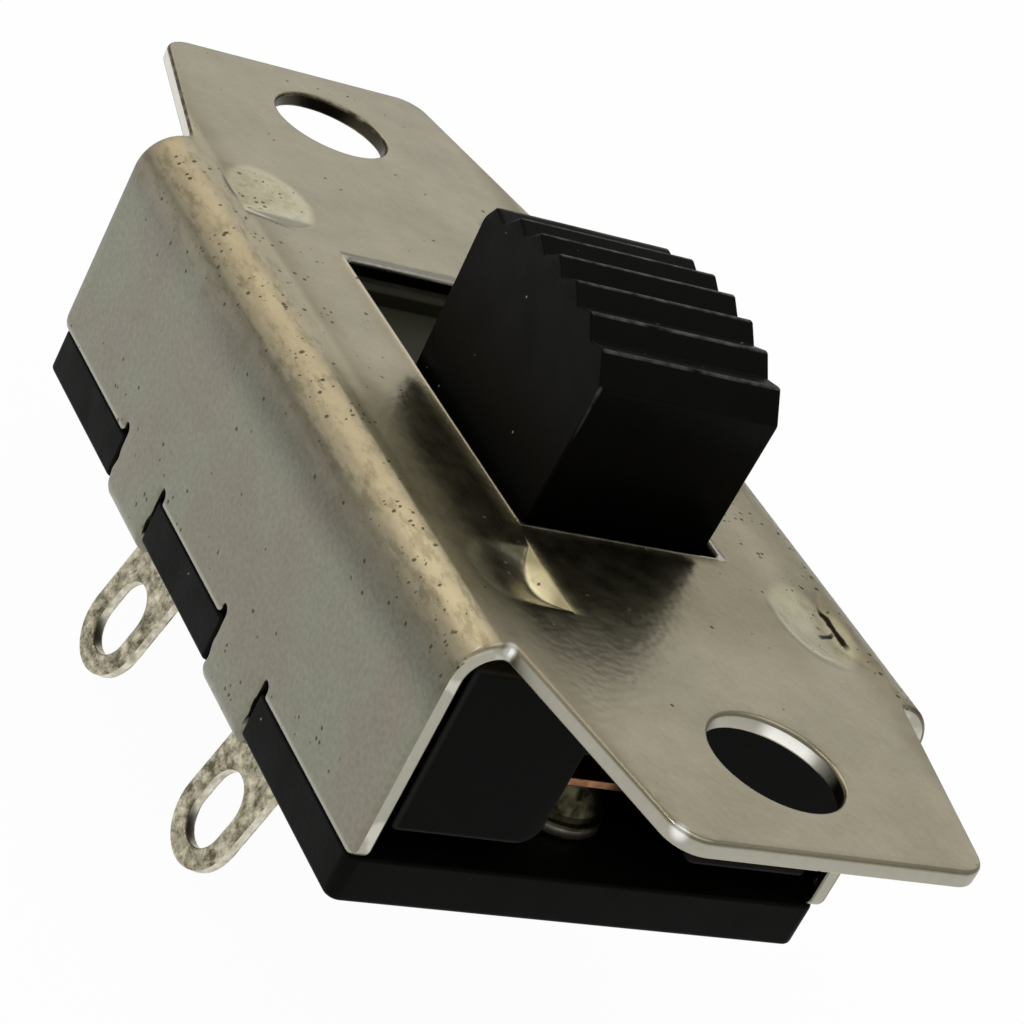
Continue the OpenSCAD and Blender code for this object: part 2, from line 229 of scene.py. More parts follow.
def fine(loop, spacing):
    """The loop with its long edges split, so that none is longer than the spacing."""
    out = []
    for i, a in enumerate(loop):
        b = loop[(i + 1) % len(loop)]
        parts = max(1, math.ceil(math.dist(a, b) / spacing - 1e-6))
        for k in range(parts):
            out.append((a[0] + (b[0] - a[0]) * k / parts, a[1] + (b[1] - a[1]) * k / parts))
    return out


def inset(loop, distance):
    before = loop - np.roll(loop, 1, axis=0)
    after = np.roll(before, -1, axis=0)
    n1 = np.column_stack((-before[:, 1], before[:, 0]))
    n1 /= np.linalg.norm(n1, axis=1)[:, None]
    n2 = np.column_stack((-after[:, 1], after[:, 0]))
    n2 /= np.linalg.norm(n2, axis=1)[:, None]
    return loop + distance * (n1 + n2) / (1 + (n1 * n2).sum(axis=1))[:, None]


def inside(points, loops):
    points = np.asarray(points, float)
    odd = np.zeros(len(points), bool)
    for loop in loops:
        for a, b in zip(loop, np.roll(loop, -1, axis=0)):
            if a[1] != b[1]:
                spans = (a[1] > points[:, 1]) != (b[1] > points[:, 1])
                cross = a[0] + (points[:, 1] - a[1]) * (b[0] - a[0]) / (b[1] - a[1])
                odd ^= spans & (points[:, 0] < cross)
    return odd


def cap(loops, seams, spots):
    """Triangles that fill the loops along the seams and through the spots, and the points used inside."""
    loops = [np.array(loop, np.float32).astype(float) for loop in loops]
    if len(spots):
        spots = [p for p, kept in zip(spots, inside(spots, loops)) if kept]
    spots = [tuple(p) for seam in seams for p in seam] + spots
    flat = [tuple(p) for loop in loops for p in loop] + spots
    edges = []
    first = 0
    for loop in loops:
        edges += [(first + i, first + (i + 1) % len(loop)) for i in range(len(loop))]
        first += len(loop)
    for seam in seams:
        edges += [(first + i, first + i + 1) for i in range(len(seam) - 1)]
        first += len(seam)
    corners, joined, triangles, source = delaunay_2d_cdt([Vector(p) for p in flat], edges, [], 0, 1e-7)[:4]
    middles = np.array([tuple(p) for p in corners])[np.array(triangles)].mean(axis=1)
    kept = inside(middles, loops)
    return [[source[i][0] for i in f] for f, k in zip(triangles, kept) if k], spots


def slab(name, loops, depth, top_roll, under_roll, place, spots=(), seams=(), steps=4, cut=False):
    """A plate with rolled edges. Each loop keeps the material on its left.

    The function place sets (u, v, depth) in space. With cut, the edges take the second material.
    """
    loops = [np.array(loop, float) for loop in loops]
    quarter = [math.pi / 2 * i / steps for i in range(steps + 1)]
    rows = [(top_roll * (1 - math.sin(a)), top_roll * (1 - math.cos(a))) for a in quarter]
    rows += [(under_roll * (1 - math.cos(a)), depth - under_roll * (1 - math.sin(a))) for a in quarter]
    points = []
    faces = []
    sides = []
    rims = [[] for row in rows]
    for loop in loops:
        for rim, (back, down) in zip(rims, rows):
            rim.append(range(len(points), len(points) + len(loop)))
            points += [(u, v, down) for u, v in inset(loop, back)]
        for k, (upper, lower) in enumerate(zip(rims, rims[1:])):
            if k == steps:
                sides += range(len(faces), len(faces) + len(loop))
            for i in range(len(loop)):
                j = (i + 1) % len(loop)
                faces.append((upper[-1][j], upper[-1][i], lower[-1][i], lower[-1][j]))
    for rim, (back, down), turn in ((rims[0], rows[0], 1), (rims[-1], rows[-1], -1)):
        triangles, kept = cap([inset(loop, back) for loop in loops], seams, list(spots))
        index = [i for loop in rim for i in loop]
        index += range(len(points), len(points) + len(kept))
        points += [(u, v, down) for u, v in kept]
        faces += [[index[i] for i in f][::turn] for f in triangles]
    piece = mesh_piece(name, [Vector(place(*p)) * MM for p in points], faces)
    for i in sides if cut else ():
        piece.data.polygons[i].material_index = 1
    smooth(piece)
    return piece


def smooth(piece):
    """Smooth shading that keeps the flats flat."""
    piece.data.shade_smooth()
    piece.modifiers.new("even_normals", "WEIGHTED_NORMAL").weight = 80


class Finish:
    """A material in the making. Places are in millimetres, as in the CAD, and its methods give sockets."""

    def __init__(self, name):
        self.material = bpy.data.materials.new(name)
        self.material.use_nodes = True
        self.tree = self.material.node_tree
        self.shader = self.tree.nodes["Principled BSDF"]
        metres = node(self.tree, "ShaderNodeTexCoord").outputs["Object"]
        self.spot = self.vector("MULTIPLY", metres, (1 / MM, 1 / MM, 1 / MM))
        self.x, self.y, self.z = node(self.tree, "ShaderNodeSeparateXYZ", {"Vector": self.spot}).outputs

    def vector(self, operation, first, second):
        made = node(self.tree, "ShaderNodeVectorMath", {0: first, 1: second}, operation=operation).outputs
        return made["Value" if operation in ("DISTANCE", "DOT_PRODUCT") else "Vector"]

    def away(self, place):
        return self.vector("DISTANCE", self.spot, place)

    def times(self, *terms):
        return reckon(self.tree, "MULTIPLY", *terms)

    def plus(self, *terms):
        return reckon(self.tree, "ADD", *terms)

    def minus(self, *terms):
        return reckon(self.tree, "SUBTRACT", *terms)

    def most(self, *terms):
        return reckon(self.tree, "MAXIMUM", *terms)

    def size(self, term):
        return reckon(self.tree, "ABSOLUTE", term)

    def spread(self, value, start, end, low=0.0, high=1.0, kind="LINEAR"):
        """Low at the start and high at the end, and level beyond."""
        return node(self.tree, "ShaderNodeMapRange", {
            "Value": value, "From Min": start, "From Max": end, "To Min": low, "To Max": high},
            interpolation_type=kind).outputs[0]

    def ramp(self, value, start, end, low=0.0, high=1.0):
        return self.spread(value, start, end, low, high, "SMOOTHSTEP")

    def zone(self, *limits):
        """Where all limits hold. Each says what is measured, where the zone starts and where it is full."""
        return self.times(*(self.ramp(*limit) for limit in limits)) if limits[1:] else self.ramp(*limits[0])

    def noise(self, scale, detail, roughness=0.5, spot=None):
        return node(self.tree, "ShaderNodeTexNoise", {
            "Vector": self.spot if spot is None else spot,
            "Scale": scale, "Detail": detail, "Roughness": roughness}).outputs["Fac"]

    def cells(self, scale, spot=None):
        """The distance to the middle of a cell, and two chances that each cell draws."""
        made = node(self.tree, "ShaderNodeTexVoronoi", {
            "Vector": self.spot if spot is None else spot, "Scale": scale}).outputs
        chance = node(self.tree, "ShaderNodeSeparateColor", {"Color": made["Color"]}).outputs
        return made["Distance"], chance[0], chance[1]

    def mixed(self, share, first, second, kind="MIX"):
        first, second = ((*c, 1) if isinstance(c, tuple) else c for c in (first, second))
        return node(self.tree, "ShaderNodeMix", {
            "Factor": share, 6: first, 7: second}, data_type="RGBA", blend_type=kind).outputs[2]

    def put(self, name, value):
        feed(self.tree, self.shader.inputs[name], value)

    def lay(self, tone):
        self.tone = tone
        self.put("Base Color", tone)

    def coat(self, zone, colour, share=1.0):
        """Lays a colour over the tone within a zone, as thick as the share says."""
        if share != 1.0:
            zone = self.times(zone, share)
        self.lay(self.mixed(zone, self.tone, colour))

    def bump(self, height, strength, distance):
        self.put("Normal", node(self.tree, "ShaderNodeBump", {
            "Height": height, "Strength": strength, "Distance": distance * MM}).outputs[0])


def moulded_black(name, colour, roughness, gloss):
    """Black moulded plastic: faint mottling, a fine grain, and pale dust in specks."""
    finish = Finish(name)
    mottle = finish.noise(0.7, 2)
    finish.lay(finish.mixed(mottle, colour, tuple(1.7 * c for c in colour)))
    apart, chance, other = finish.cells(2.5)
    picked = reckon(finish.tree, "GREATER_THAN", chance, 0.88)
    finish.coat(finish.times(finish.spread(apart, 0.1, 0.06), picked), dust_grey)
    finish.put("Roughness", finish.spread(mottle, 0.3, 0.7, roughness - 0.08, roughness + 0.08))
    finish.put("Specular IOR Level", gloss)
    finish.bump(finish.noise(6.0, 1), 0.25, 0.02)
    return finish


base_outline = [(base_half_x, -base_half_y, base_corner_r), (base_half_x, base_half_y, base_corner_r)]
for x in tab_xs:
    base_outline += [(x + notch_half, base_half_y, notch_r), (x + notch_half, notch_y, notch_r)]
    base_outline += [(x - notch_half, notch_y, notch_r), (x - notch_half, base_half_y, notch_r)]
base_outline += [(-base_half_x, base_half_y, base_corner_r), (-base_half_x, -base_half_y, base_corner_r)]
for x in tab_xs[::-1]:
    base_outline += [(x - notch_half, -base_half_y, notch_r), (x - notch_half, -notch_y, notch_r)]
    base_outline += [(x + notch_half, -notch_y, notch_r), (x + notch_half, -base_half_y, notch_r)]
base_loops = [fine(rounded(base_outline), base_spacing)]
for x in lug_xs:
    base_loops.append([(x + sx * slot_half[0], sy * slot_half[1] - lug_row_y) for sx, sy in clockwise])
base = slab(
    "moulded_base", base_loops, base_t, base_top_roll, base_under_roll,
    lambda u, v, down: (u, v, base_top - down),
)
base.data.materials.append(moulded_black("base_black", base_black, base_roughness, base_gloss).material)
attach(base, "housing")
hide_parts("base")

# Terminals. Two strips stamped from tinned brass, bent down through the base;
# below it each ends in a round lug, splayed outwards, with a long hole for the wire.
strip_t = 0.4
lug_w = 2.75
lug_len = 5.22
lug_splay = math.radians(15)
contact_reach = 4.7
wire_hole_w = 1.6
wire_hole_len = 2.2
strip_roll = 0.09
strip_bend_r = 0.3
splay_bend_r = 0.5
strip_spacing = 0.2
tin_light = (0.78, 0.72, 0.54)
tin_dark = (0.13, 0.115, 0.065)
tin_painted_shade = (0.03, 0.027, 0.015)
tin_cut_light = (0.72, 0.69, 0.58)
tin_cut_dark = (0.42, 0.38, 0.27)


def bend(legs, start):
    """Follows a strip's outer face, first along y, through straights (length) and bends (r, angle).

    A positive angle bends it down. The function that comes back gives the place and the way out at a run.
    """
    stages = []
    place = np.array(start, float)
    angle = 0.0
    run = 0.0

    def side(angle, reach):
        return reach * np.array((math.sin(angle), -math.cos(angle)))

    for leg in legs:
        if len(leg) == 1:
            stages.append((run, leg[0], place, angle, 0, 0))
            place = place + leg[0] * np.array((math.cos(angle), math.sin(angle)))
            run += leg[0]
        else:
            reach = math.copysign(leg[0], leg[1])
            stages.append((run, abs(reach * leg[1]), place, angle, reach, leg[1]))
            place = place + side(angle, reach) - side(angle - leg[1], reach)
            angle -= leg[1]
            run += abs(reach * leg[1])

    def at(run_to):
        for stage in stages:
            if run_to <= stage[0] + stage[1]:
                break
        first, length, where, facing, reach, turn = stage
        along = run_to - first
        if reach == 0:
            spot = where + along * np.array((math.cos(facing), math.sin(facing)))
        else:
            spot = where + side(facing, reach) - side(facing - turn * along / length, reach)
            facing -= turn * along / length
        return spot, np.array((-math.sin(facing), math.cos(facing)))

    return at


def turn_outwards(piece):
    mesh = piece.data
    mesh.calc_loop_triangles()
    points = np.empty(len(mesh.vertices) * 3)
    mesh.vertices.foreach_get("co", points)
    corners = np.empty(len(mesh.loop_triangles) * 3, int)
    mesh.loop_triangles.foreach_get("vertices", corners)
    a, b, c = points.reshape(-1, 3)[corners.reshape(-1, 3)].transpose(1, 0, 2)
    if (a * np.cross(b, c)).sum() < 0:
        mesh.flip_normals()


strap_top = base_top + strip_t
strap_end = lug_w / 2
bend_out = strip_bend_r + strip_t
strap_run = lug_row_y + strip_t / 2 - bend_out + strap_end
bend_run = bend_out * math.pi / 2
leg_run = strip_t + base_t - bend_out
splay_run = splay_bend_r * lug_splay
lug_start = strap_run + bend_run + leg_run
lug_tip = lug_start + lug_len
strip_face = bend(
    [(strap_run,), (bend_out, math.pi / 2), (leg_run,), (splay_bend_r, -lug_splay), (lug_len,)],
    (-strap_end, strap_top),
)


def place_strip(u, v, down):
    spot, out = strip_face(v)
    y, z = spot - down * out
    return u, -y, z


def plain_metal(name, colour, worn, roughness, scale):
    """Bare metal with tarnish in clouds."""
    finish = Finish(name)
    cloud = finish.noise(scale, 4)
    finish.lay(finish.mixed(finish.spread(cloud, 0.35, 0.65), colour, worn))
    finish.put("Roughness", finish.spread(cloud, 0, 1, roughness - 0.1, roughness + 0.1))
    finish.put("Metallic", 1.0)
    return finish


tinned = Finish("tarnished_and_shaded_tin")
stain = tinned.noise(2.6, 6, 0.75)
tinned.lay(tinned.mixed(tinned.spread(stain, 0.34, 0.62), tin_light, tin_dark))
# Painted shade: the strips darken where they rise inside the channel, above the base.
tinned.coat(tinned.spread(tinned.z, base_top - 0.1, base_top + 0.1, 0, 0.85), tin_painted_shade)
tinned.put("Roughness", tinned.spread(stain, 0, 1, 0.25, 0.6))
tinned.put("Metallic", 1.0)
tinned.bump(stain, 0.5, 0.06)
cut_tin = plain_metal("cut_tin", tin_cut_light, tin_cut_dark, 0.35, 4.0)
half = lug_w / 2
tip_v = lug_tip - half
hole_r = wire_hole_w / 2
hole_run = wire_hole_len - wire_hole_w
bends = [*np.linspace(strap_run, strap_run + bend_run, 9), *np.linspace(lug_start, lug_start + splay_run, 5)]
for name, x in (("near_terminal", lug_xs[0]), ("far_terminal", lug_xs[1])):
    outline = arc((x, tip_v), half, 0, 180, 32) + [(x - half, 0)]
    outline += arc((x + contact_reach, strap_end), half, -90, 90, 24) + [(x + half, strap_end + half)]
    hole = arc((x, tip_v), hole_r, 180, 0, 20) + arc((x, tip_v - hole_run), hole_r, 0, -180, 20)
    strip = slab(
        name + "_strip", [fine(outline, strip_spacing), fine(hole, strip_spacing)],
        strip_t, strip_roll, strip_roll, place_strip,
        [(x + k * lug_w / 8, v) for v in bends for k in range(-3, 4)], steps=3, cut=True,
    )
    turn_outwards(strip)
    strip.data.materials.append(tinned.material)
    strip.data.materials.append(cut_tin.material)
    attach(strip, "housing")
    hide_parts(name)

# Contact rivets. Two silver-plated rivets, headed over the terminals' pads;
# the bridge slides on the flats of their conical heads.
rivet_foot_r = 1.2
rivet_flat_r = 0.75
rivet_head_h = 1.15
rivet_foot_h = 0.18
rivet_shank_r = 0.6
rivet_shank_len = 1.0
rivet_step = 0.002
rivet_sides = 64
silver_darkened_for_shade = (0.17, 0.158, 0.092)
silver_dark = (0.012, 0.011, 0.005)


def growth(name, sizes):
    """An empty Geometry Nodes tree with a named input for each size."""
    tree = bpy.data.node_groups.new(name, "GeometryNodeTree")
    for size in sizes:
        tree.interface.new_socket(name=size, in_out="INPUT", socket_type="NodeSocketFloat")
    tree.interface.new_socket(name="Geometry", in_out="OUTPUT", socket_type="NodeSocketGeometry")
    return tree, node(tree, "NodeGroupInput").outputs


def kept_mesh(piece):
    """Keeps what the modifiers make of a piece as its mesh, without the modifiers."""
    shown = piece.evaluated_get(bpy.context.evaluated_depsgraph_get())
    made = bpy.data.meshes.new_from_object(shown)
    piece.modifiers.clear()
    piece.data = made


def grown(name, tree, sizes, shape, finish):
    """Ends the tree in plain, painted geometry, runs it once and keeps the mesh."""
    real = node(tree, "GeometryNodeRealizeInstances", {"Geometry": shape}).outputs[0]
    painted = node(tree, "GeometryNodeSetMaterial", {
        "Geometry": real, "Material": finish.material}).outputs[0]
    node(tree, "NodeGroupOutput", {0: painted})
    piece = mesh_piece(name, [(0, 0, 0)], [])
    modifier = piece.modifiers.new(name, "NODES")
    modifier.node_group = tree
    for item in tree.interface.items_tree:
        if item.in_out == "INPUT":
            modifier[item.identifier] = float(sizes[item.name])
    kept_mesh(piece)
    turn_outwards(piece)
    return piece


def by_index(tree, values):
    """A field that takes the values one after the other along the points."""
    index = node(tree, "GeometryNodeInputIndex").outputs[0]
    choice = node(tree, "GeometryNodeIndexSwitch", {"Index": index}, data_type="FLOAT")
    for value in values[2:]:
        choice.index_switch_items.new()
    for socket, value in zip(choice.inputs[1:], values):
        feed(tree, socket, value)
    return choice.outputs[0]


rivet_sizes = {
    "Foot Radius": rivet_foot_r * MM, "Foot Height": rivet_foot_h * MM,
    "Flat Radius": rivet_flat_r * MM, "Head Height": rivet_head_h * MM,
    "Shank Radius": rivet_shank_r * MM, "Shank Length": rivet_shank_len * MM,
    "First X": (lug_xs[0] + contact_reach) * MM, "Pitch": (lug_xs[0] - lug_xs[1]) * MM,
    "Level": strap_top * MM,
}
tree, given = growth("contact_rivet_row", rivet_sizes)
profile = [
    (reckon(tree, "MULTIPLY", given["Shank Length"], -1.0), given["Shank Radius"]),
    (-rivet_step * MM, given["Shank Radius"]),
    (0.0, given["Foot Radius"]),
    (given["Foot Height"], given["Foot Radius"]),
    (given["Head Height"], given["Flat Radius"]),
]
spine = node(tree, "GeometryNodeMeshLine", {"Count": len(profile)}).outputs[0]
level = node(tree, "ShaderNodeCombineXYZ", {"Z": by_index(tree, [z for z, r in profile])}).outputs[0]
spine = node(tree, "GeometryNodeSetPosition", {"Geometry": spine, "Position": level}).outputs[0]
spine = node(tree, "GeometryNodeMeshToCurve", {"Mesh": spine}).outputs[0]
ring = node(tree, "GeometryNodeCurvePrimitiveCircle", {"Resolution": rivet_sides, "Radius": 1.0}).outputs[0]
turned = node(tree, "GeometryNodeCurveToMesh", {
    "Curve": spine, "Profile Curve": ring, "Scale": by_index(tree, [r for z, r in profile]),
    "Fill Caps": True}).outputs[0]
rivet = node(tree, "GeometryNodeSetShadeSmooth", {"Geometry": turned, "Shade Smooth": False}).outputs[0]
row_start = node(tree, "ShaderNodeCombineXYZ", {"X": given["First X"], "Z": given["Level"]}).outputs[0]
back_step = reckon(tree, "MULTIPLY", given["Pitch"], -1.0)
row_step = node(tree, "ShaderNodeCombineXYZ", {"X": back_step}).outputs[0]
row = node(tree, "GeometryNodeMeshLine", {"Count": 2, "Start Location": row_start, "Offset": row_step})
rivets = node(tree, "GeometryNodeInstanceOnPoints", {"Points": row.outputs[0], "Instance": rivet}).outputs[0]
# The silver's light tone is darkened as painted shade for where the rivets sit, with darker tarnish clouds
# over it.
silvered = plain_metal("dull_silver_painted_shade", silver_darkened_for_shade, silver_dark, 0.4, 3.0)
contact_rivets = grown("contact_rivets", tree, rivet_sizes, rivets, silvered)
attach(contact_rivets, "housing")
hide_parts("near_contact_rivet", "far_contact_rivet")

# Contact bridge. A copper strip that lies on both rivets when the switch is on;
# its two ears sit in the slider's legs, which push it along.
bridge_x = 4.25
bridge_half = (5.3, 1.7)
ear_half = (1.0, 2.6)
bridge_top = -4.45
bridge_t = 0.25
bridge_roll = 0.04
copper_light = (0.4, 0.2, 0.11)
copper_dark = (0.2, 0.1, 0.055)

bridge_outline = [bridge_half, (ear_half[0], bridge_half[1]), ear_half]
bridge_outline += [(-x, y) for x, y in bridge_outline[::-1]]
bridge_outline += [(x, -y) for x, y in bridge_outline[::-1]]
bridge = slab(
    "copper_bridge", [[(bridge_x + x, y) for x, y in bridge_outline]], bridge_t, bridge_roll, bridge_roll,
    lambda u, v, down: (u, v, bridge_top - down),
)
bridge.data.materials.append(plain_metal("bare_copper", copper_light, copper_dark, 0.4, 2.5).material)
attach(bridge, "slider")
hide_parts("contact_bridge")

# Contact spring. A coil of drawn wire in a pocket of the slider,
# which presses the bridge on the rivets.
spring_sizes = {
    "Coil Radius": 1.05 * MM, "Wire Radius": 0.15 * MM, "Height": 2.45 * MM, "Turns": 4,
    "X": bridge_x * MM, "Level": -4.25 * MM,
}
coil_steps = 40
wire_sides = 12
wire_light = (0.5, 0.5, 0.47)
wire_dark = (0.35, 0.35, 0.33)

tree, given = growth("coil", spring_sizes)
coil = node(tree, "GeometryNodeCurveSpiral", {
    "Resolution": coil_steps, "Rotations": given["Turns"], "Start Radius": given["Coil Radius"],
    "End Radius": given["Coil Radius"], "Height": given["Height"]}).outputs[0]
wire = node(tree, "GeometryNodeCurvePrimitiveCircle", {
    "Resolution": wire_sides, "Radius": given["Wire Radius"]}).outputs[0]
wound = node(tree, "GeometryNodeCurveToMesh", {
    "Curve": coil, "Profile Curve": wire, "Fill Caps": True}).outputs[0]
coil_place = node(tree, "ShaderNodeCombineXYZ", {"X": given["X"], "Z": given["Level"]}).outputs[0]
set_in = node(tree, "GeometryNodeTransform", {"Geometry": wound, "Translation": coil_place}).outputs[0]
wire_steel = plain_metal("drawn_wire", wire_light, wire_dark, 0.3, 4.0)
spring = grown("wire_spring", tree, spring_sizes, set_in, wire_steel)
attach(spring, "slider")
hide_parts("contact_spring")

# Slider. One moulding of black plastic: the domed knob with ridges across its top stands out
# through the slot, and its carriage runs inside the channel on two legs, with a pocket for the spring.
knob_x = 2.225
knob_half = 3.55
knob_half_w = 2.65
knob_h = 5.1
dome_r = 8.277
ridge_count = 7
ridge_inset = 0.135
ridge_run_out = 0.635
ridge_flat = 0.045
ridge_r = 0.085
groove_depth = 0.3
groove_r = 0.05
knob_roll = 0.075
front_drop = 0.72
front_r = 0.2
front_lean = 0.18
far_flat = 0.08
far_drop = 0.45
far_r = 0.4
far_lean = 0.25
carriage_half_x = 8.725
carriage_top = -0.95
roof_under = -2.85
leg_under = -5.55
leg_out = 6.0
leg_in = 2.05
leg_edge_r = 0.6
carriage_edge_r = 0.15
carriage_roll = 0.12
pocket_r = 1.35
pocket_depth = 1.3
drill_start = 0.5
rib_len = 0.95
rib_half_w = 2.92
rib_top = -0.55
rib_edge_r = 0.08
rib_roll = 0.06
sunk = 0.1
slider_black = (0.003, 0.003, 0.0027)
slider_roughness = 0.4
carriage_gloss = 0.03
knob_gloss = 0.045
end_edge_highlight = (0.03, 0.03, 0.028)
top_dust_and_light = (0.035, 0.034, 0.022)
crest_highlight_grey = (0.085, 0.085, 0.08)

pitch = (2 * knob_half - ridge_inset - ridge_run_out) / (ridge_count - 1)
ridge_xs = [ridge_inset - knob_half + pitch * i for i in range(ridge_count)]
ridge_mid = (ridge_xs[0] + ridge_xs[-1]) / 2


def dome_z(x):
    return knob_h - dome_r + math.sqrt(dome_r ** 2 - (x - ridge_mid) ** 2)


foot_z = carriage_top - sunk
knob_outline = [(-knob_half, foot_z, 0), (knob_half - front_lean, foot_z, 0)]
knob_outline.append((knob_half, dome_z(ridge_xs[-1]) - front_drop, front_r))
for i in range(ridge_count - 1, -1, -1):
    crest_z = dome_z(ridge_xs[i])
    knob_outline.append((ridge_xs[i] + ridge_flat, crest_z, ridge_r))
    if i:
        valley = ridge_xs[i] - pitch / 2
        knob_outline.append((ridge_xs[i] - ridge_flat, crest_z, ridge_r))
        knob_outline.append((valley, dome_z(valley) - groove_depth, groove_r))
knob_outline.append((ridge_xs[0] - far_flat, crest_z, ridge_r))
knob_outline.append((-knob_half - far_lean, crest_z - far_drop, far_r))
knob = slab(
    "knob", [[(knob_x + x, z) for x, z in rounded(knob_outline, 3)]], 2 * knob_half_w, knob_roll, knob_roll,
    lambda u, v, down: (u, down - knob_half_w, v),
)
section = [(-leg_in, leg_under, leg_edge_r), (-leg_in, roof_under, 0)]
section += [(leg_in, roof_under, 0), (leg_in, leg_under, leg_edge_r)]
section += [(leg_out, leg_under, carriage_edge_r), (leg_out, carriage_top, carriage_edge_r)]
section += [(-leg_out, carriage_top, carriage_edge_r), (-leg_out, leg_under, carriage_edge_r)]
carriage = slab(
    "carriage", [rounded(section, 6)], 2 * carriage_half_x, carriage_roll, carriage_roll,
    lambda u, v, down: (knob_x + carriage_half_x - down, u, v),
)
rib_outline = [(-rib_half_w, foot_z, 0), (rib_half_w, foot_z, 0)]
rib_outline += [(rib_half_w, rib_top, rib_edge_r), (-rib_half_w, rib_top, rib_edge_r)]
rib = slab(
    "rib", [rounded(rib_outline, 4)], rib_len, rib_roll, rib_roll,
    lambda u, v, down: (knob_x - carriage_half_x + rib_len - down, u, v),
)
for part in (knob, carriage, rib):
    turn_outwards(part)
pocket_rim = arc((bridge_x, 0), pocket_r, 0, 360, 48)[:-1]
count = len(pocket_rim)
drill_ends = (roof_under - drill_start, roof_under + pocket_depth)
drill_points = [Vector((x, y, z)) * MM for z in drill_ends for x, y in pocket_rim]
drill_faces = [(i, (i + 1) % count, count + (i + 1) % count, count + i) for i in range(count)]
drill_faces += [range(count)[::-1], range(count, 2 * count)]
drill = mesh_piece("drill", drill_points, drill_faces)
carriage.modifiers.clear()
carriage.modifiers.new("pocket", "BOOLEAN").object = drill
kept_mesh(carriage)
smooth(carriage)
bpy.data.objects.remove(drill)

inner = moulded_black("slider_black", slider_black, slider_roughness, carriage_gloss)
# Painted highlight along the left and bottom edges of the carriage's near end.
end_x = knob_x + carriage_half_x
at_end = inner.spread(inner.x, end_x - 0.12, end_x - 0.05)
at_side = inner.spread(inner.y, 0.14 - leg_out, 0.04 - leg_out)
at_foot = inner.spread(inner.z, leg_under + 0.14, leg_under + 0.04)
inner.coat(inner.times(at_end, inner.most(at_side, at_foot)), end_edge_highlight)
# A paler top face: dust, lightened further as painted light.
inner.coat(inner.spread(inner.z, carriage_top - 0.1, carriage_top - 0.02), top_dust_and_light)
outer = moulded_black("knob_black", slider_black, slider_roughness, knob_gloss)
# Painted highlight along the crests of the ridges and down the near left corner, broken into patches.
from_mid = outer.minus(outer.x, knob_x + ridge_mid)
rise = reckon(outer.tree, "SQRT", outer.minus(dome_r ** 2, outer.times(from_mid, from_mid)))
below = outer.minus(outer.plus(rise, knob_h - dome_r), outer.z)
crest = outer.spread(below, 0.016, 0.004)
corner_x = outer.minus(outer.x, knob_x + knob_half)
corner_y = outer.plus(outer.y, knob_half_w)
apart = outer.plus(outer.times(corner_x, corner_x), outer.times(corner_y, corner_y))
corner = outer.spread(reckon(outer.tree, "SQRT", apart), 0.08, 0.05)
in_patches = outer.spread(outer.noise(2.6, 4), 0.35, 0.65)
outer.coat(outer.times(outer.most(crest, corner), in_patches), crest_highlight_grey)
for part, finish in ((knob, outer), (carriage, inner), (rib, inner)):
    part.data.materials.append(finish.material)
    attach(part, "slider")
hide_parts("slider")

# Frame. A channel stamped and folded from plated sheet steel: plate with two tapered ears, screw holes,
# slot and four pressed dimples, side walls, and tabs that are curled in under the base to hold it all.
sheet = 0.45
plate_half = 5.65
fold_r = 1.2
wall_run = 5.1
channel_half = 11.2
ear_tip = (17.5, 4.2)
ear_root_y = 5.6
ear_root_r = 0.12
ear_corner_r = 0.9
wall_corner_r = 0.35
tab_drop = 1.15
tab_half = 1.35
tab_foot_half = 1.2
tab_foot_r = 0.9
curl_r = 0.65
foot_len = 0.5
relief_r = 0.17
relief_depth = 0.35
relief_corner_r = 0.13
slot_corner = (5.9, 2.9)
slot_corner_r = 0.15
burr_h = 0.032
burr_w = 0.075
screw_hole_x = 14.25
screw_hole_r = 1.7
sheet_roll = 0.11
burr_roll = 0.05
edge_spacing = 0.1
grid_step = 0.4
grid_margin = 0.3
fold_step = 0.45
fold_margin = 0.35
clear = 0.1
tear_waves = ((0.035, 7.1, 0.6), (0.014, 12.7, 2.1))
dimples = [
    {"place": (8.15, -4.25), "half": (1.3, 1.08), "crease": 0.62, "depth": 0.38,
     "deep": 0.0, "bow": 2, "bright": 1.4, "painted_side": 0},
    {"place": (-8.6, -4.2), "half": (1.55, 1.2), "crease": -0.8, "depth": 0.33,
     "deep": 0.2, "bow": 1, "bright": 1.12, "painted_side": 0.75},
    {"place": (8.3, 4.52), "half": (1.65, 1.08), "crease": 0.66, "depth": 0.27,
     "deep": 0.0, "bow": 2, "bright": 1.05, "painted_side": 0.4},
    {"place": (-8.4, 4.4), "half": (1.6, 1.1), "crease": -0.6, "depth": 0.38,
     "deep": 0.0, "bow": 2, "bright": 1.0, "painted_side": 0},
]
plate_light = (0.345, 0.313, 0.225)
plate_dark = (0.30, 0.273, 0.195)
wall_green = (0.222, 0.223, 0.168)
wall_pink = (0.224, 0.204, 0.158)
fold_highlight_gold = (0.385, 0.333, 0.228)
fold_highlight_bright = (0.5, 0.44, 0.305)
fold_streak = (0.12, 0.1, 0.055)
dimple_pale_and_lit = (0.5, 0.47, 0.335)
dimple_cloud = (0.27, 0.24, 0.15)
dimple_painted_shade = (0.1, 0.09, 0.065)
dimple_lit = (0.72, 0.69, 0.55)
beside_fold_pale = (0.45, 0.41, 0.3)
knob_shade_olive = (0.11, 0.09, 0.02)
knob_shade_seam = (0.05, 0.043, 0.015)
hem_pale = (0.34, 0.335, 0.275)
slot_rim_highlight = (0.38, 0.365, 0.32)
highlight_white = (0.95, 0.95, 0.9)
tear_black = (0.012, 0.01, 0.005)
far_rim_shade = (0.06, 0.05, 0.03)
rust_red = (0.1, 0.06, 0.045)
pit_black = (0.06, 0.05, 0.027)
